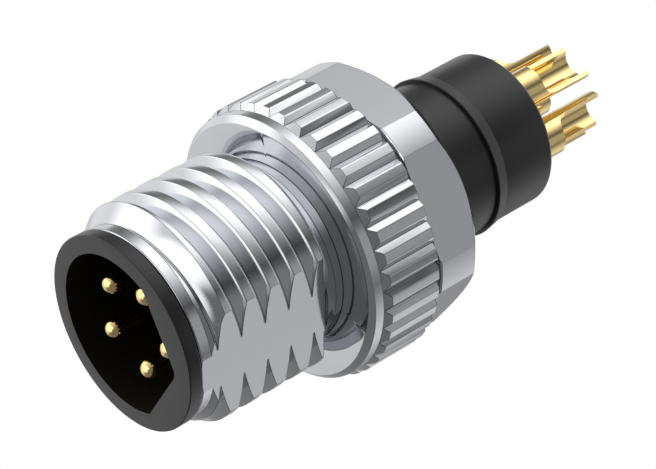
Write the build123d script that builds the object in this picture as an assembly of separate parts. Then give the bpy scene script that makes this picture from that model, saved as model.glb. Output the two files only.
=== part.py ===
from build123d import *
import math
import os

# Circular sensor connector, M8 male insert with five poles and solder cups.
# Millimetres. Z = 0 is the mating face, +Z runs to the solder cups, +X passes through the coding key.

# Carrier: rim and sleeve
rim_radius = 3.52
rim_length = 0.51
rim_edge = 0.04
sleeve_radius = 3.06
cavity_radius = 2.88
cavity_depth = 5.2
key_flat_distance = 2.41
key_flat_angle = 30.0
key_round = 0.5

# Carrier: stem and snap bead
stem_radius = 2.86
stem_beyond_screw = 5.31
stem_edge = 0.15
bead_radius = 2.99
bead_offset = 2.58
bead_lead = 0.4

# Contacts
contact_count = 5
contact_circle_radius = 1.62
pin_radius = 0.37
pin_recess = 0.4
barrel_start = 6.2
barrel_radius = 0.7
cup_wall = 0.17
cup_length = 3.46
cup_depth = 2.8
scoop_length = 2.45
scoop_round = 0.7

# Screw: front ring, thread and neck
ring_radius = 3.48
ring_length = 0.42
lead_length = 0.6
thread_radius = 4.0
thread_pitch = 1.0
thread_root_radius = 3.5
thread_root_width = 0.04
thread_flank_angle = 30.0
thread_start_angle = 105.0
thread_flat_distance = 3.42
threaded_length = 5.95
neck_length = 0.78
neck_radius = 3.38

# Screw: dished undercut in the collar's face, deeper on one side
dish_radius = 3.32
dish_depth = 0.03
dish_slope = 8.6
dish_tilt = 3.45
dish_direction = -43.0

# Screw: collar, knurl and hexagon
collar_radius = 4.85
collar_round = 0.265
collar_length = 0.58
knurl_count = 40
knurl_length = 2.36
knurl_tip_radius = 5.03
knurl_groove_radius = 4.86
knurl_tip_angle = 4.0
knurl_bevel_length = 0.25
groove_length = 0.2
groove_radius = 4.42
hex_across_flats = 9.0
hex_corner_radius = 4.88
hex_length = 1.98
hex_face_radius = 4.45
hex_first_corner = 0.0
lip_length = 1.2

# Fits
front_gap = 0.05
running_clearance = 0.05
shoulder_gap = 0.15
contact_clearance = 0.02
tool_margin = 0.3

# Stations along the axis
screw_front = rim_length + front_gap
collar_face = screw_front + threaded_length
knurl_start = collar_face + collar_length
knurl_end = knurl_start + knurl_length
hex_start = knurl_end + groove_length
screw_end = hex_start + hex_length
stem_end = screw_end + stem_beyond_screw
bead_start = screw_end + bead_offset
cup_end = stem_end + cup_length
bore_radius = sleeve_radius + running_clearance
lip_radius = stem_radius + running_clearance
sleeve_end = screw_end - lip_length - shoulder_gap


def turned(points):
    """A solid of revolution about Z from its half section, given as radius and height."""
    outline = Polyline(*[(r, 0, z) for r, z in points], close=True)
    return revolve(make_face(outline), Axis.Z)


def place_contact(index):
    """The place of one contact, the first of which lies on the coding axis."""
    return Rot(0, 0, 360 / contact_count * index) * Pos(contact_circle_radius, 0, 0)


def keyed_cavity():
    """The round cavity with two flats that meet in a rounded ridge on the coding axis."""
    section = Circle(cavity_radius)
    block = 2 * cavity_radius
    for side in (-1, 1):
        place = Rot(0, 0, side * key_flat_angle) * Pos(key_flat_distance + block / 2, 0)
        section -= place * Rectangle(block, block)
    section = fillet(section.vertices().sort_by(Axis.X)[-1], key_round)
    return extrude(section, cavity_depth)


def contact_carrier():
    """The moulded insulator: rim, keyed sleeve, body, stem and snap bead."""
    body = turned([
        (0, 0),
        (rim_radius - rim_edge, 0),
        (rim_radius, rim_edge),
        (rim_radius, rim_length - rim_edge),
        (rim_radius - rim_edge, rim_length),
        (sleeve_radius, rim_length),
        (sleeve_radius, sleeve_end),
        (stem_radius, sleeve_end),
        (stem_radius, bead_start),
        (bead_radius, bead_start),
        (stem_radius, bead_start + bead_lead),
        (stem_radius, stem_end - stem_edge),
        (stem_radius - stem_edge, stem_end),
        (0, stem_end),
    ])
    body -= keyed_cavity()
    pin_hole = Pos(0, 0, stem_end / 2) * Cylinder(pin_radius + contact_clearance, stem_end)
    barrel_length = stem_end - barrel_start
    barrel_hole = Pos(0, 0, barrel_start + barrel_length / 2) * Cylinder(
        barrel_radius + contact_clearance, barrel_length)
    for index in range(contact_count):
        body -= place_contact(index) * (pin_hole + barrel_hole)
    return body


def contact():
    """One contact about its own axis: domed pin, barrel, solder cup opened towards +X."""
    tip = Pos(0, 0, pin_recess + pin_radius) * Sphere(pin_radius)
    pin_length = barrel_start - pin_recess - pin_radius
    pin = Pos(0, 0, barrel_start - pin_length / 2) * Cylinder(pin_radius, pin_length)
    barrel = turned([
        (0, barrel_start),
        (barrel_radius, barrel_start),
        (barrel_radius, cup_end),
        (0, cup_end),
    ])
    bore_length = cup_depth + tool_margin
    bore = Pos(0, 0, cup_end - cup_depth + bore_length / 2) * Cylinder(barrel_radius - cup_wall, bore_length)
    return tip + pin + barrel - bore - scoop()


def scoop():
    """The cutter that takes away the outer half of the cup, with a round start."""
    start = cup_end - scoop_length
    bend = scoop_round * math.sqrt(0.5)
    top = cup_end + tool_margin
    side = scoop_round + tool_margin
    outline = [
        ThreePointArc((0, 0, start + scoop_round),
                      (scoop_round - bend, 0, start + scoop_round - bend),
                      (scoop_round, 0, start)),
        Line((scoop_round, 0, start), (side, 0, start)),
        Line((side, 0, start), (side, 0, top)),
        Line((side, 0, top), (0, 0, top)),
        Line((0, 0, top), (0, 0, start + scoop_round)),
    ]
    return extrude(make_face(outline), barrel_radius + tool_margin, dir=(0, 1, 0), both=True)


def thread_cutters():
    """The V groove of the right-hand thread, in lengths of less than a turn that follow each other."""
    depth = thread_radius - thread_root_radius + tool_margin
    half_root = thread_root_width / 2
    half_mouth = half_root + depth * math.tan(math.radians(thread_flank_angle))
    section = make_face(Polyline(
        (thread_root_radius, 0, -half_root),
        (thread_root_radius + depth, 0, -half_mouth),
        (thread_root_radius + depth, 0, half_mouth),
        (thread_root_radius, 0, half_root),
        close=True))
    run = threaded_length - neck_length + half_mouth
    count = math.ceil(run / thread_pitch)
    step = run / count
    turn = 360 * step / thread_pitch
    cutter = sweep(section, path=Helix(thread_pitch, step, thread_root_radius), is_frenet=True)
    return [Pos(0, 0, screw_front + index * step) * Rot(0, 0, thread_start_angle + index * turn) * cutter
            for index in range(count)]


def threaded_front():
    """The front ring and the thread, with its groove and its two milled flats."""
    neck_start = collar_face - neck_length
    body = turned([
        (0, screw_front),
        (ring_radius, screw_front),
        (ring_radius, screw_front + ring_length),
        (thread_radius, screw_front + ring_length + lead_length),
        (thread_radius, neck_start),
        (0, neck_start),
    ])
    for cutter in thread_cutters():
        body -= cutter
    flat_length = neck_start - screw_front
    for side in (-1, 1):
        block = Box(thread_radius, 2 * thread_radius, flat_length)
        body -= Pos(side * (thread_flat_distance + thread_radius / 2), 0, screw_front + flat_length / 2) * block
    return body


def dish():
    """The cutter for the undercut in the collar's face, a shallow cone on a tilted axis."""
    outer = collar_radius + tool_margin
    drop = (outer - dish_radius) * math.tan(math.radians(dish_slope))
    front = -neck_length / 2
    cutter = turned([(dish_radius, front), (outer, front), (outer, -drop), (dish_radius, 0)])
    lean = Rot(0, 0, dish_direction) * Rot(0, -dish_tilt, 0)
    return Pos(0, 0, collar_face + dish_depth) * lean * cutter


def knurled_band():
    """The straight knurl: flat tips between V grooves, with a bevelled front."""
    step = 360 / knurl_count
    points = []
    for index in range(knurl_count):
        middle = (index + 0.5) * step
        for turn in (-knurl_tip_angle / 2, knurl_tip_angle / 2):
            angle = math.radians(middle + turn)
            points.append((knurl_tip_radius * math.cos(angle), knurl_tip_radius * math.sin(angle)))
        angle = math.radians((index + 1) * step)
        points.append((knurl_groove_radius * math.cos(angle), knurl_groove_radius * math.sin(angle)))
    band = Pos(0, 0, knurl_start) * extrude(make_face(Polyline(*points, close=True)), knurl_length)
    envelope = turned([
        (0, knurl_start),
        (collar_radius, knurl_start),
        (knurl_tip_radius, knurl_start + knurl_bevel_length),
        (knurl_tip_radius, knurl_end),
        (0, knurl_end),
    ])
    return band & envelope


def hexagon():
    """The hexagon with its corners turned round and its rear edge bevelled."""
    prism = extrude(RegularPolygon(hex_across_flats / 2, 6, major_radius=False), hex_length)
    bevel = hex_corner_radius - hex_face_radius
    envelope = turned([
        (0, hex_start),
        (hex_corner_radius, hex_start),
        (hex_corner_radius, screw_end - bevel),
        (hex_face_radius, screw_end),
        (0, screw_end),
    ])
    return (Pos(0, 0, hex_start) * Rot(0, 0, hex_first_corner) * prism) & envelope


def coupling_screw():
    """The turned coupling screw with thread, flats, neck, collar, knurl and hexagon."""
    bend = collar_round * (1 - math.sqrt(0.5))
    body = turned([
        (0, collar_face - neck_length),
        (neck_radius, collar_face - neck_length),
        (neck_radius, collar_face),
        (collar_radius - collar_round, collar_face),
        (collar_radius - bend, collar_face + bend),
        (collar_radius, collar_face + collar_round),
        (collar_radius, knurl_start),
        (groove_radius, knurl_start),
        (groove_radius, hex_start),
        (0, hex_start),
    ])
    body -= dish()
    body += threaded_front()
    body += knurled_band()
    body += hexagon()
    body -= turned([
        (0, screw_front),
        (bore_radius, screw_front),
        (bore_radius, screw_end - lip_length),
        (lip_radius, screw_end - lip_length),
        (lip_radius, screw_end),
        (0, screw_end),
    ])
    return body


os.makedirs("parts", exist_ok=True)
export_step(coupling_screw(), "parts/coupling_screw.step")
export_step(contact_carrier(), "parts/contact_carrier.step")
for number in range(contact_count):
    export_step(place_contact(number) * contact(), f"parts/contact_{number + 1}.step")
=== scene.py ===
import math
import bmesh
import bpy
from mathutils import Matrix, Vector


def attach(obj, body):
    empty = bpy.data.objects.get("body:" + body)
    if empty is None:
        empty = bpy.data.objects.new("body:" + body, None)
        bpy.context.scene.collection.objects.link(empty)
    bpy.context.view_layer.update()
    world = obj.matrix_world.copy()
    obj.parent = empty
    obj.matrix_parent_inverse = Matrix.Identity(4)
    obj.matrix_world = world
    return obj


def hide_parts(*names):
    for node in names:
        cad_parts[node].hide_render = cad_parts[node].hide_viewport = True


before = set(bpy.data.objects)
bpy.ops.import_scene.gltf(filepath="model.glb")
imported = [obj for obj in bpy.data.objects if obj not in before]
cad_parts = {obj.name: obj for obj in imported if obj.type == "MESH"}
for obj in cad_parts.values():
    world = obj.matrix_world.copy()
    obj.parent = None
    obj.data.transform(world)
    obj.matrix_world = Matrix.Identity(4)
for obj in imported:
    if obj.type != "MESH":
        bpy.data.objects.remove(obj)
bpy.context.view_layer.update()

# The contact carrier is one black moulding: the front rim, the thin keyed sleeve round the pins and
# the stem with its snap bead. It is pushed through the screw from the front until the bead snaps out.

millimetre = 0.001
carrier_steps = 256
rim_radius = 3.52
rim_length = 0.51
rim_edge = 0.04
sleeve_radius = 3.06
sleeve_end = 10.28
cavity_radius = 2.88
cavity_depth = 5.2
cavity_tool_reach = 1.0
cavity_arc_steps = 160
key_distance = 2.41
key_angle = 30.0
key_round = 0.5
key_arc_steps = 16
stem_radius = 2.86
stem_end = 16.94
stem_edge = 0.15
bead_start = 14.21
bead_radius = 2.99
bead_edge = 0.02
bead_edge_length = 0.03
bead_lead = 0.44
bead_step = 0.06
bead_line = 0.03
bead_line_slope = 0.01
same_point = 1e-8
no_length = 1e-9


def piece_from(name, points, faces):
    """A mesh object from points in millimetres."""
    mesh = bpy.data.meshes.new(name)
    mesh.from_pydata([Vector(p) * millimetre for p in points], [], faces)
    mesh.validate()
    piece = bpy.data.objects.new(name, mesh)
    bpy.context.scene.collection.objects.link(piece)
    return piece


def turned(name, outline, steps):
    """A closed ring-shaped or solid turning from its half section, radius and height."""
    points = []
    faces = []
    count = len(outline)
    for step in range(steps):
        angle = 2 * math.pi * step / steps
        for radius, height in outline:
            points.append((radius * math.cos(angle), radius * math.sin(angle), height))
        after = (step + 1) % steps
        for i in range(count):
            j = (i + 1) % count
            faces.append((step * count + i, after * count + i, after * count + j, step * count + j))
    piece = piece_from(name, points, faces)
    form = bmesh.new()
    form.from_mesh(piece.data)
    bmesh.ops.remove_doubles(form, verts=form.verts, dist=same_point)
    bmesh.ops.dissolve_degenerate(form, edges=form.edges, dist=no_length)
    bmesh.ops.recalc_face_normals(form, faces=form.faces)
    form.to_mesh(piece.data)
    form.free()
    return piece


def prism(name, outline, low, high):
    """An upright prism from a closed outline in X and Y."""
    count = len(outline)
    points = [(x, y, low) for x, y in outline] + [(x, y, high) for x, y in outline]
    faces = [tuple(reversed(range(count))), tuple(range(count, 2 * count))]
    for i in range(count):
        j = (i + 1) % count
        faces.append((i, j, count + j, count + i))
    return piece_from(name, points, faces)


def rounded(centre, radius, first, last, steps=8):
    """Points on an arc of a half section, angles in degrees."""
    turns = [math.radians(first + (last - first) * i / steps) for i in range(steps + 1)]
    return [(centre[0] + radius * math.cos(a), centre[1] + radius * math.sin(a)) for a in turns]


def carve(piece, *tools):
    """Takes the tools away from the piece, one after another."""
    for tool in tools:
        change = piece.modifiers.new("carve", "BOOLEAN")
        change.operation = "DIFFERENCE"
        change.solver = "EXACT"
        change.object = tool
        seen = piece.evaluated_get(bpy.context.evaluated_depsgraph_get())
        mesh = bpy.data.meshes.new_from_object(seen)
        piece.modifiers.clear()
        piece.data = mesh
        bpy.data.objects.remove(tool)


def smooth_between_edges(piece, limit=24.0):
    """Smooth shading that stops at every edge sharper than the limit in degrees."""
    mesh = piece.data
    mesh.name = piece.name
    for face in mesh.polygons:
        face.use_smooth = True
    mesh.set_sharp_from_angle(angle=math.radians(limit))
    change = piece.modifiers.new("even normals", "WEIGHTED_NORMAL")
    change.keep_sharp = True
    seen = piece.evaluated_get(bpy.context.evaluated_depsgraph_get())
    kept = bpy.data.meshes.new_from_object(seen)
    piece.modifiers.clear()
    piece.data = kept


def key_outline():
    """The cavity's outline: a circle with two flats that meet in a rounded ridge on +X."""
    side = math.radians(key_angle)
    first = side + math.acos(key_distance / cavity_radius)
    points = []
    for i in range(cavity_arc_steps + 1):
        angle = first + (2 * math.pi - 2 * first) * i / cavity_arc_steps
        points.append((cavity_radius * math.cos(angle), cavity_radius * math.sin(angle)))
    centre = (key_distance - key_round) / math.cos(side)
    for i in range(key_arc_steps + 1):
        angle = -side + 2 * side * i / key_arc_steps
        points.append((centre + key_round * math.cos(angle), key_round * math.sin(angle)))
    return points


bead_end = bead_start + bead_lead
carrier_outline = [(0, 0)]
carrier_outline += rounded((rim_radius - rim_edge, rim_edge), rim_edge, -90, 0)
carrier_outline += rounded((rim_radius - rim_edge, rim_length - rim_edge), rim_edge, 0, 90)
carrier_outline += [
    (sleeve_radius, rim_length),
    (sleeve_radius, sleeve_end),
    (stem_radius, sleeve_end),
    (stem_radius, bead_start),
    (bead_radius - bead_edge, bead_start),
    (bead_radius, bead_start + bead_edge_length),
    (stem_radius + bead_step, bead_end),
    (stem_radius - bead_line, bead_end + bead_line_slope),
    (stem_radius - bead_line, bead_end + bead_line),
    (stem_radius, bead_end + bead_line + bead_line_slope),
]
carrier_outline += rounded((stem_radius - stem_edge, stem_end - stem_edge), stem_edge, 0, 90)
carrier_outline += [(0, stem_end)]
carrier = turned("carrier_moulding", carrier_outline, carrier_steps)
carve(carrier, prism("cavity_tool", key_outline(), -cavity_tool_reach, cavity_depth))
smooth_between_edges(carrier)


def grain_group():
    """Fine grain of a surface: a height and a slightly uneven roughness."""
    group = bpy.data.node_groups.new("fine grain", "ShaderNodeTree")
    group.interface.new_socket("Grain size", in_out="INPUT", socket_type="NodeSocketFloat")
    group.interface.new_socket("Roughness", in_out="INPUT", socket_type="NodeSocketFloat")
    group.interface.new_socket("Spread", in_out="INPUT", socket_type="NodeSocketFloat")
    group.interface.new_socket("Height", in_out="OUTPUT", socket_type="NodeSocketFloat")
    group.interface.new_socket("Roughness", in_out="OUTPUT", socket_type="NodeSocketFloat")
    nodes = group.nodes
    links = group.links
    given = nodes.new("NodeGroupInput")
    result = nodes.new("NodeGroupOutput")
    place = nodes.new("ShaderNodeTexCoord")
    grain = nodes.new("ShaderNodeTexNoise")
    grain.inputs["Detail"].default_value = 3.0
    links.new(place.outputs["Object"], grain.inputs["Vector"])
    links.new(given.outputs["Grain size"], grain.inputs["Scale"])
    blotch = nodes.new("ShaderNodeTexNoise")
    blotch.inputs["Scale"].default_value = 450.0
    links.new(place.outputs["Object"], blotch.inputs["Vector"])
    centred = nodes.new("ShaderNodeMath")
    centred.operation = "SUBTRACT"
    centred.inputs[1].default_value = 0.5
    links.new(blotch.outputs["Fac"], centred.inputs[0])
    vary = nodes.new("ShaderNodeMath")
    vary.operation = "MULTIPLY_ADD"
    links.new(centred.outputs[0], vary.inputs[0])
    links.new(given.outputs["Spread"], vary.inputs[1])
    links.new(given.outputs["Roughness"], vary.inputs[2])
    links.new(grain.outputs["Fac"], result.inputs["Height"])
    links.new(vary.outputs[0], result.inputs["Roughness"])
    return group


fine_grain = grain_group()


def grained_material(name, grain_size, roughness, spread, darker, lighter):
    """A material whose tone and roughness follow the fine grain."""
    material = bpy.data.materials.new(name)
    material.use_nodes = True
    nodes = material.node_tree.nodes
    links = material.node_tree.links
    surface = nodes["Principled BSDF"]
    grain = nodes.new("ShaderNodeGroup")
    grain.name = "grain"
    grain.node_tree = fine_grain
    grain.inputs["Grain size"].default_value = grain_size
    grain.inputs["Roughness"].default_value = roughness
    grain.inputs["Spread"].default_value = spread
    tone = nodes.new("ShaderNodeValToRGB")
    tone.name = "tone"
    tone.color_ramp.elements[0].color = (*darker, 1)
    tone.color_ramp.elements[1].color = (*lighter, 1)
    links.new(grain.outputs["Height"], tone.inputs["Fac"])
    links.new(tone.outputs["Color"], surface.inputs["Base Color"])
    links.new(grain.outputs["Roughness"], surface.inputs["Roughness"])
    return material


black_plastic = grained_material(
    "black moulded plastic", 26000.0, 0.33, 0.08, (0.009, 0.009, 0.0095), (0.018, 0.018, 0.019))
nodes = black_plastic.node_tree.nodes
links = black_plastic.node_tree.links
nodes["Principled BSDF"].inputs["Specular IOR Level"].default_value = 0.40
relief = nodes.new("ShaderNodeBump")
relief.inputs["Strength"].default_value = 0.10
relief.inputs["Distance"].default_value = 0.00002
links.new(nodes["grain"].outputs["Height"], relief.inputs["Height"])
links.new(relief.outputs["Normal"], nodes["Principled BSDF"].inputs["Normal"])

# The faces inside the pin cavity get a near-black colour as painted shade, where the deep recess lies in
# shadow, tinted olive as a painted reflection of the gold pins.
painted_shade_wall = grained_material(
    "pin cavity wall with painted shade", 20000.0, 0.6, 0.10, (0.0030, 0.0026, 0.0012), (0.0075, 0.0065, 0.0030))
painted_shade_wall.node_tree.nodes["Principled BSDF"].inputs["Specular IOR Level"].default_value = 0.15

wall_margin = 0.01
front_margin = 0.001
carrier.data.materials.clear()
carrier.data.materials.append(black_plastic)
carrier.data.materials.append(painted_shade_wall)
# Faces near the axis and within the cavity's depth take the painted shade; all others keep the plain
# black plastic.
for face in carrier.data.polygons:
    centre = face.center / millimetre
    near_axis = math.hypot(centre.x, centre.y) < cavity_radius + wall_margin
    in_cavity = near_axis and front_margin < centre.z < cavity_depth + wall_margin
    face.material_index = 1 if in_cavity else 0
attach(carrier, "insert")
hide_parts("contact_carrier")

# The five contacts are turned brass, gold plated and pressed into the carrier from behind: a domed
# pin in front, a barrel inside, and a solder cup whose outer half is milled away.

contact_count = 5
contact_steps = 96
contact_circle = 1.62
pin_radius = 0.37
pin_tip = 0.4
pin_nose = 0.36
pin_nose_steps = 24
barrel_start = 6.2
barrel_radius = 0.7
cup_end = 20.40
cup_bore = 0.53
cup_depth = 2.8
cup_edge = 0.02
scoop_start = 18.1
scoop_round = 0.7
scoop_arc_steps = 24
scoop_reach = 0.3
scoop_half_width = 1.0


def contact_turning(name):
    """Pin, barrel and cup in one turning about Z."""
    nose = rounded((0, 0), 1.0, -90, 0, pin_nose_steps)
    floor = cup_end - cup_depth
    outline = [(pin_radius * r, pin_tip + pin_nose * (1 + z)) for r, z in nose] + [
        (pin_radius, barrel_start),
        (barrel_radius - cup_edge, barrel_start),
        (barrel_radius, barrel_start + cup_edge),
        (barrel_radius, cup_end - cup_edge),
        (barrel_radius - cup_edge, cup_end),
        (cup_bore + cup_edge / 2, cup_end),
        (cup_bore, cup_end - cup_edge / 2),
        (cup_bore, floor),
        (0, floor - cup_bore / 2),
    ]
    return turned(name, outline, contact_steps)


def scoop_tool():
    """The cutter that opens the cup on its +X side, with a round start."""
    side = rounded((scoop_round, scoop_start + scoop_round), scoop_round, 180, 270, scoop_arc_steps)
    side += [
        (scoop_round + scoop_reach, scoop_start),
        (scoop_round + scoop_reach, cup_end + scoop_reach),
        (0, cup_end + scoop_reach),
    ]
    count = len(side)
    points = [(x, -scoop_half_width, z) for x, z in side] + [(x, scoop_half_width, z) for x, z in side]
    faces = [tuple(range(count)), tuple(reversed(range(count, 2 * count)))]
    for i in range(count):
        j = (i + 1) % count
        faces.append((j, i, count + i, count + j))
    return piece_from("scoop_tool", points, faces)


gold = grained_material("gold plate", 9000.0, 0.12, 0.05, (0.86, 0.62, 0.25), (0.95, 0.76, 0.38))
gold.node_tree.nodes["Principled BSDF"].inputs["Metallic"].default_value = 1.0

pattern = contact_turning("contact_pattern")
carve(pattern, scoop_tool())
smooth_between_edges(pattern)
pattern.data.materials.clear()
pattern.data.materials.append(gold)
for number in range(contact_count):
    piece = bpy.data.objects.new(f"contact_turning_{number + 1}", pattern.data.copy())
    bpy.context.scene.collection.objects.link(piece)
    turn = Matrix.Rotation(2 * math.pi * number / contact_count, 4, "Z")
    piece.data.transform(turn @ Matrix.Translation(Vector((contact_circle * millimetre, 0, 0))))
    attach(piece, "insert")
    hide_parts(f"contact_{number + 1}")
bpy.data.objects.remove(pattern)

# The coupling screw is turned from brass and nickel plated: front ring, M8 x 1 thread with two milled
# flats, relief, collar, straight knurl and hexagon. It turns freely on the carrier.

screw_steps = 360
screw_front = 0.56
bore_radius = 3.11
bore_edge = 0.05
ring_radius = 3.48
ring_edge = 0.04
ring_end = 0.98
lead_end = 1.58
thread_radius = 4.0
root_radius = 3.50
root_half = 0.02
pitch = 1.0
flank_angle = 30.0
crest_round = 0.045
crest_turns = (60, 45, 30, 15)
groove_at_zero = 1.268
groove_first_turn = -0.72
groove_turns = 5.51
groove_steps_a_turn = 180
groove_tool_reach = 0.02
groove_tool_flare = 0.06
flat_distance = 3.42
flat_tool_half_width = 4.5
flat_tool_far = 5.0
neck_start = 5.73
neck_radius = 3.38
neck_slope = ((0.18, 5.73), (0.10, 5.96), (0.045, 6.12), (0.0, 6.28))
collar_face = 6.51
face_radius = 4.64
bevel_end = 6.745
collar_radius = 4.85
edge_round = 0.04
edge_round_steps = 6
dish_radius = 3.32
dish_depth = 0.03
dish_front = 0.36
dish_reach = 0.3
dish_slope = 8.6
dish_tilt = 3.45
dish_direction = -43.0
knurl_start = 7.09
knurl_end = 9.45
knurl_bevel = 0.25
knurl_rear_edge = 0.03
knurl_count = 40
knurl_tip = 5.03
knurl_floor = 4.86
knurl_tip_angle = 4.0
knurl_edge = 0.012
knurl_edge_slope = 3.4
knurl_tool_reach = 0.01
knurl_tool_overrun = 0.05
groove_end = 9.65
groove_radius = 4.42
across_flats = 9.0
hex_corner = 4.88
hex_face = 4.45
hex_front_edge = 0.05
hex_tool_radius = 7.0
tool_overrun = 0.1
hex_tool_overrun = 0.2
screw_end = 11.63
lip_radius = 2.91
lip_start = 10.43
lip_edge = 0.08


def thread_tool():
    """The V groove, a closed strip wound along the right-hand helix."""
    flank = math.tan(math.radians(flank_angle))
    middle = root_half + (thread_radius - root_radius) * flank + crest_round * flank
    mouth = []
    for turn in crest_turns:
        angle = math.radians(turn)
        mouth.append((thread_radius - crest_round + crest_round * math.cos(angle),
                      middle - crest_round * math.sin(angle)))
    mouth.append((thread_radius + groove_tool_reach, middle + groove_tool_flare))
    section = ([(root_radius, -root_half)] + [(r, -w) for r, w in mouth]
               + [(r, w) for r, w in reversed(mouth)] + [(root_radius, root_half)])
    steps = int(groove_turns * groove_steps_a_turn)
    points = []
    for i in range(steps + 1):
        turn = groove_first_turn + i / groove_steps_a_turn
        angle = 2 * math.pi * turn
        for radius, shift in section:
            points.append((radius * math.cos(angle), radius * math.sin(angle),
                           groove_at_zero + turn * pitch + shift))
    count = len(section)
    faces = [tuple(range(count)), tuple(reversed(range(steps * count, (steps + 1) * count)))]
    for i in range(steps):
        for k in range(count):
            j = (k + 1) % count
            faces.append((i * count + j, i * count + k, (i + 1) * count + k, (i + 1) * count + j))
    return piece_from("thread_tool", points, faces)


def flat_tool(name, near, far):
    """The cutter that mills one flat along the thread, between two distances along X."""
    outline = [(near, -flat_tool_half_width), (far, -flat_tool_half_width),
               (far, flat_tool_half_width), (near, flat_tool_half_width)]
    return prism(name, outline, screw_front - tool_overrun, neck_start + tool_overrun)


def knurl_tool():
    """All the V grooves of the knurl in one cutter."""
    points = []
    faces = []
    step = 360.0 / knurl_count
    half = math.radians((step - knurl_tip_angle) / 2)
    slope = (knurl_tip * math.cos(half) - knurl_floor) / (knurl_tip * math.sin(half))
    edge = knurl_tip * math.cos(math.radians(knurl_tip_angle / 2)) - knurl_edge
    wide = (edge - knurl_floor) / slope
    reach = knurl_tip + knurl_tool_reach
    widest = wide + (reach - edge) * knurl_edge_slope
    outline = [(knurl_floor, 0.0), (edge, -wide), (reach, -widest), (reach, widest), (edge, wide)]
    count = len(outline)
    for index in range(knurl_count):
        base = len(points)
        turn = Matrix.Rotation(math.radians(index * step), 3, "Z")
        for height in (knurl_start - knurl_tool_overrun, knurl_end + knurl_tool_overrun):
            for x, y in outline:
                points.append(tuple(turn @ Vector((x, y, height))))
        faces.append(tuple(base + i for i in reversed(range(count))))
        faces.append(tuple(base + count + i for i in range(count)))
        for i in range(count):
            j = (i + 1) % count
            faces.append((base + i, base + j, base + count + j, base + count + i))
    return piece_from("knurl_tool", points, faces)


def softened(corners, radius):
    """The inner corners of an open half section, each rounded by the radius."""
    points = []
    for before, corner, after in zip(corners, corners[1:], corners[2:]):
        back = Vector(before) - Vector(corner)
        on = Vector(after) - Vector(corner)
        half = back.angle(on) / 2
        reach = radius / math.tan(half)
        first = Vector(corner) + back.normalized() * reach
        last = Vector(corner) + on.normalized() * reach
        for i in range(edge_round_steps + 1):
            t = i / edge_round_steps
            points.append(tuple(first * (1 - t) ** 2 + Vector(corner) * 2 * t * (1 - t) + last * t * t))
    return points


def dish_tool():
    """The cutter for the undercut in the collar's face, on its tilted axis."""
    outer = collar_radius + dish_reach
    drop = (outer - dish_radius) * math.tan(math.radians(dish_slope))
    tool = turned("dish_tool", [
        (dish_radius, -dish_front),
        (outer, -dish_front),
        (outer, -drop),
        (dish_radius, 0),
    ], screw_steps)
    face_towards = Matrix.Rotation(math.radians(dish_direction), 4, "Z")
    lean = Matrix.Rotation(math.radians(-dish_tilt), 4, "Y")
    place = Matrix.Translation(Vector((0, 0, (collar_face + dish_depth) * millimetre)))
    tool.data.transform(place @ (face_towards @ lean))
    return tool


hex_bevel = hex_corner - hex_face
hex_point = across_flats / 2 / math.cos(math.radians(30))
screw_outline = [
    (bore_radius, screw_front + bore_edge),
    (bore_radius + bore_edge, screw_front),
    (ring_radius - ring_edge, screw_front),
    (ring_radius, screw_front + ring_edge),
    (ring_radius, ring_end),
    (thread_radius, lead_end),
    (thread_radius, neck_start),
]
screw_outline += [(neck_radius + more, height) for more, height in neck_slope]
screw_outline += softened([
    screw_outline[-1],
    (neck_radius, collar_face),
    (face_radius, collar_face),
    (collar_radius, bevel_end),
    (collar_radius, knurl_start),
], edge_round)
screw_outline += [
    (collar_radius, knurl_start),
    (knurl_tip, knurl_start + knurl_bevel),
    (knurl_tip, knurl_end - knurl_rear_edge),
    (knurl_tip - knurl_rear_edge, knurl_end),
    (groove_radius, knurl_end),
    (groove_radius, groove_end),
    (hex_corner - hex_front_edge, groove_end),
    (hex_corner, groove_end + hex_front_edge),
    (hex_corner, screw_end - hex_bevel),
    (hex_face, screw_end),
    (lip_radius + lip_edge, screw_end),
    (lip_radius, screw_end - lip_edge),
    (lip_radius, lip_start),
    (bore_radius, lip_start),
]
screw = turned("screw_turning", screw_outline, screw_steps)
hexagon_tool = turned("hexagon_tool", [
    (hex_point, groove_end - tool_overrun),
    (hex_tool_radius, groove_end - tool_overrun),
    (hex_tool_radius, screw_end + hex_tool_overrun),
    (hex_point, screw_end + hex_tool_overrun),
], 6)
carve(screw,
      thread_tool(),
      flat_tool("flat_tool_1", flat_distance, flat_tool_far),
      flat_tool("flat_tool_2", -flat_tool_far, -flat_distance),
      dish_tool(),
      knurl_tool(),
      hexagon_tool)
smooth_between_edges(screw)


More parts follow.
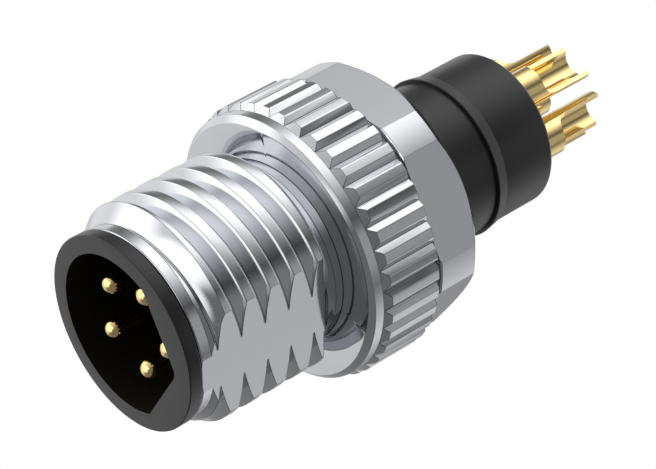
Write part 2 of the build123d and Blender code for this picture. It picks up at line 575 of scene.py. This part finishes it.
def painted_edge_shade_group():
    """A mask of the sharp edges, where the base colour is darkened into thin lines of painted shade, as
    the photograph draws them.
    """
    group = bpy.data.node_groups.new("painted edge shade", "ShaderNodeTree")
    group.interface.new_socket("Line width", in_out="INPUT", socket_type="NodeSocketFloat")
    group.interface.new_socket("Least bend", in_out="INPUT", socket_type="NodeSocketFloat")
    group.interface.new_socket("Full bend", in_out="INPUT", socket_type="NodeSocketFloat")
    group.interface.new_socket("Edge", in_out="OUTPUT", socket_type="NodeSocketFloat")
    nodes = group.nodes
    links = group.links
    given = nodes.new("NodeGroupInput")
    result = nodes.new("NodeGroupOutput")
    rounded_over = nodes.new("ShaderNodeBevel")
    rounded_over.samples = 8
    links.new(given.outputs["Line width"], rounded_over.inputs["Radius"])
    face = nodes.new("ShaderNodeNewGeometry")
    alike = nodes.new("ShaderNodeVectorMath")
    alike.operation = "DOT_PRODUCT"
    links.new(rounded_over.outputs["Normal"], alike.inputs[0])
    links.new(face.outputs["Normal"], alike.inputs[1])
    bend = nodes.new("ShaderNodeMath")
    bend.operation = "SUBTRACT"
    bend.inputs[0].default_value = 1.0
    links.new(alike.outputs["Value"], bend.inputs[1])
    mask = nodes.new("ShaderNodeMapRange")
    links.new(bend.outputs[0], mask.inputs["Value"])
    links.new(given.outputs["Least bend"], mask.inputs["From Min"])
    links.new(given.outputs["Full bend"], mask.inputs["From Max"])
    links.new(mask.outputs["Result"], result.inputs["Edge"])
    return group


nickel = grained_material(
    "bright nickel plate", 900.0, 0.09, 0.02, (0.59, 0.598, 0.625), (0.62, 0.628, 0.655))
nodes = nickel.node_tree.nodes
links = nickel.node_tree.links
nodes["Principled BSDF"].inputs["Metallic"].default_value = 1.0
# Thin dark lines of painted shade along the sharp edges: the nickel's base colour turns dark grey there.
edge = nodes.new("ShaderNodeGroup")
edge.node_tree = painted_edge_shade_group()
edge.inputs["Line width"].default_value = 0.00005
edge.inputs["Least bend"].default_value = 0.012
edge.inputs["Full bend"].default_value = 0.03
painted_edge_shade_mix = nodes.new("ShaderNodeMix")
painted_edge_shade_mix.data_type = "RGBA"
# The dark grey of the painted edge shade, mixed in where the edge mask is on.
painted_edge_shade_mix.inputs["B"].default_value = (0.10, 0.101, 0.105, 1)
links.new(edge.outputs["Edge"], painted_edge_shade_mix.inputs["Factor"])
links.new(nodes["tone"].outputs["Color"], painted_edge_shade_mix.inputs["A"])
links.new(painted_edge_shade_mix.outputs["Result"], nodes["Principled BSDF"].inputs["Base Color"])
screw.data.materials.clear()
screw.data.materials.append(nickel)
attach(screw, "screw")
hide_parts("coupling_screw")

# The floor is a pale sheet that the connector stands on. The photograph looks at the mating face from
# below it, so its underside lets the camera through, and it stays out of reflections.

floor_half = 1.0
floor_drop = 0.00002
sheet = bpy.data.meshes.new("floor")
sheet.from_pydata([
    (-floor_half, -floor_half, -floor_drop),
    (floor_half, -floor_half, -floor_drop),
    (floor_half, floor_half, -floor_drop),
    (-floor_half, floor_half, -floor_drop),
], [], [(0, 1, 2, 3)])
floor = bpy.data.objects.new("floor", sheet)
bpy.context.scene.collection.objects.link(floor)
pale = bpy.data.materials.new("pale floor")
pale.use_nodes = True
nodes = pale.node_tree.nodes
links = pale.node_tree.links
nodes["Principled BSDF"].inputs["Base Color"].default_value = (0.86, 0.86, 0.86, 1)
nodes["Principled BSDF"].inputs["Roughness"].default_value = 0.7
clear = nodes.new("ShaderNodeBsdfTransparent")
side = nodes.new("ShaderNodeNewGeometry")
choose = nodes.new("ShaderNodeMixShader")
links.new(side.outputs["Backfacing"], choose.inputs["Fac"])
links.new(nodes["Principled BSDF"].outputs["BSDF"], choose.inputs[1])
links.new(clear.outputs["BSDF"], choose.inputs[2])
links.new(choose.outputs["Shader"], nodes["Material Output"].inputs["Surface"])
sheet.materials.append(pale)
floor.visible_shadow = False
floor.visible_diffuse = False
floor.visible_glossy = False
floor.visible_transmission = False

# The studio is a soft surround: a wide bright screen on one side, a dimmer one opposite, and dark gaps
# between them, which draw the bands on the plated metal. The camera itself sees plain white behind.
# Each screen is a list of compass angle in degrees and brightness.

upper_screens = [
    (-180, 0.52), (-170, 0.29), (-160, 0.23), (-150, 0.35), (-144, 0.46), (-136, 0.76), (-128, 1.15),
    (-118, 1.6), (-104, 1.75), (-92, 1.7), (-82, 1.42), (-74, 1.08), (-66, 0.79), (-58, 0.51),
    (-48, 0.255), (-38, 0.115), (-31, 0.22), (-23, 0.42), (-14, 0.43), (2, 0.43), (11, 0.32),
    (20, 0.23), (28, 0.35), (38, 0.53), (48, 0.65), (60, 0.81), (74, 0.84), (86, 0.64), (100, 0.42),
    (112, 0.31), (140, 0.6), (162, 0.85)]
middle_screens = [
    (-180, 1.05), (-166, 1.7), (-140, 1.65), (-126, 0.95), (-94, 0.74), (-80, 0.64), (-70, 0.46),
    (-54, 0.28), (-42, 0.21), (-24, 0.19), (66, 0.19), (90, 0.23), (112, 0.29), (120, 0.6),
    (128, 0.80), (138, 0.84), (160, 1.05)]
lower_screens = [
    (-180, 1.7), (-66, 1.75), (-58, 1.5), (-50, 1.15), (-42, 0.62), (-34, 0.32), (-26, 0.2),
    (66, 0.19), (112, 0.29), (125, 0.85), (160, 1.5)]
overhead = 1.4
underneath = 1.5
lower_to_middle = (-0.80, -0.70)
middle_to_upper = (0.04, 0.30)
upper_to_overhead = (0.66, 0.90)
underneath_to_lower = (-0.999, -0.93)

world = bpy.data.worlds.new("studio")
bpy.context.scene.world = world
world.use_nodes = True
nodes = world.node_tree.nodes
links = world.node_tree.links
nodes.clear()
direction = nodes.new("ShaderNodeTexCoord")
parts = nodes.new("ShaderNodeSeparateXYZ")
links.new(direction.outputs["Generated"], parts.inputs[0])
round_about = nodes.new("ShaderNodeMath")
round_about.operation = "ARCTAN2"
links.new(parts.outputs["Y"], round_about.inputs[0])
links.new(parts.outputs["X"], round_about.inputs[1])
compass = nodes.new("ShaderNodeMapRange")
compass.inputs["From Min"].default_value = -math.pi
compass.inputs["From Max"].default_value = math.pi
links.new(round_about.outputs[0], compass.inputs["Value"])


def screen_ramp(stops):
    """Brightness round the compass, from stops of angle in degrees and brightness."""
    ramp = nodes.new("ShaderNodeValToRGB")
    elements = ramp.color_ramp.elements
    while len(elements) < len(stops):
        elements.new(0.5)
    for element, (angle, brightness) in zip(elements, stops):
        element.position = (angle + 180) / 360
        element.color = (brightness, brightness, brightness, 1)
    links.new(compass.outputs["Result"], ramp.inputs["Fac"])
    return ramp.outputs["Color"]


def height_mix(heights, below, above):
    """Blends smoothly from what is below to what is above, between two heights on the unit sphere."""
    step = nodes.new("ShaderNodeMapRange")
    step.interpolation_type = "SMOOTHSTEP"
    step.inputs["From Min"].default_value = heights[0]
    step.inputs["From Max"].default_value = heights[1]
    links.new(parts.outputs["Z"], step.inputs["Value"])
    blend = nodes.new("ShaderNodeMix")
    blend.data_type = "RGBA"
    links.new(step.outputs["Result"], blend.inputs["Factor"])
    for socket, given in ((blend.inputs["A"], below), (blend.inputs["B"], above)):
        if isinstance(given, float):
            socket.default_value = (given, given, given, 1)
        else:
            links.new(given, socket)
    return blend.outputs["Result"]


low_sides = height_mix(lower_to_middle, screen_ramp(lower_screens), screen_ramp(middle_screens))
sides = height_mix(middle_to_upper, low_sides, screen_ramp(upper_screens))
with_top = height_mix(upper_to_overhead, sides, overhead)
light = height_mix(underneath_to_lower, underneath, with_top)
paths = nodes.new("ShaderNodeLightPath")
seen_white = nodes.new("ShaderNodeBackground")
seen_white.inputs["Color"].default_value = (1, 1, 1, 1)
seen_white.inputs["Strength"].default_value = 1.0
surround = nodes.new("ShaderNodeBackground")
surround.inputs["Strength"].default_value = 1.0
links.new(light, surround.inputs["Color"])
mixed = nodes.new("ShaderNodeMixShader")
links.new(paths.outputs["Is Camera Ray"], mixed.inputs["Fac"])
links.new(surround.outputs["Background"], mixed.inputs[1])
links.new(seen_white.outputs["Background"], mixed.inputs[2])
output = nodes.new("ShaderNodeOutputWorld")
links.new(mixed.outputs["Shader"], output.inputs["Surface"])

# The camera looks at the mating face from the front and a little below, as the photograph does.

camera_place = Vector((59.39, -61.38, -43.87)) * millimetre
camera_right = Vector((0.6676, 0.0048, 0.7445)).normalized()
camera_up = Vector((-0.4553, -0.7886, 0.4133))
camera_up = (camera_up - camera_up.dot(camera_right) * camera_right).normalized()
camera_back = camera_right.cross(camera_up)
lens = bpy.data.cameras.new("camera")
lens.lens = 162.57
lens.sensor_width = 36.0
lens.clip_start = 0.001
camera = bpy.data.objects.new("camera", lens)
bpy.context.scene.collection.objects.link(camera)
camera.matrix_world = Matrix.Translation(camera_place) @ Matrix(
    (camera_right, camera_up, camera_back)).transposed().to_4x4()
bpy.context.scene.camera = camera
bpy.context.scene.view_settings.view_transform = "Standard"
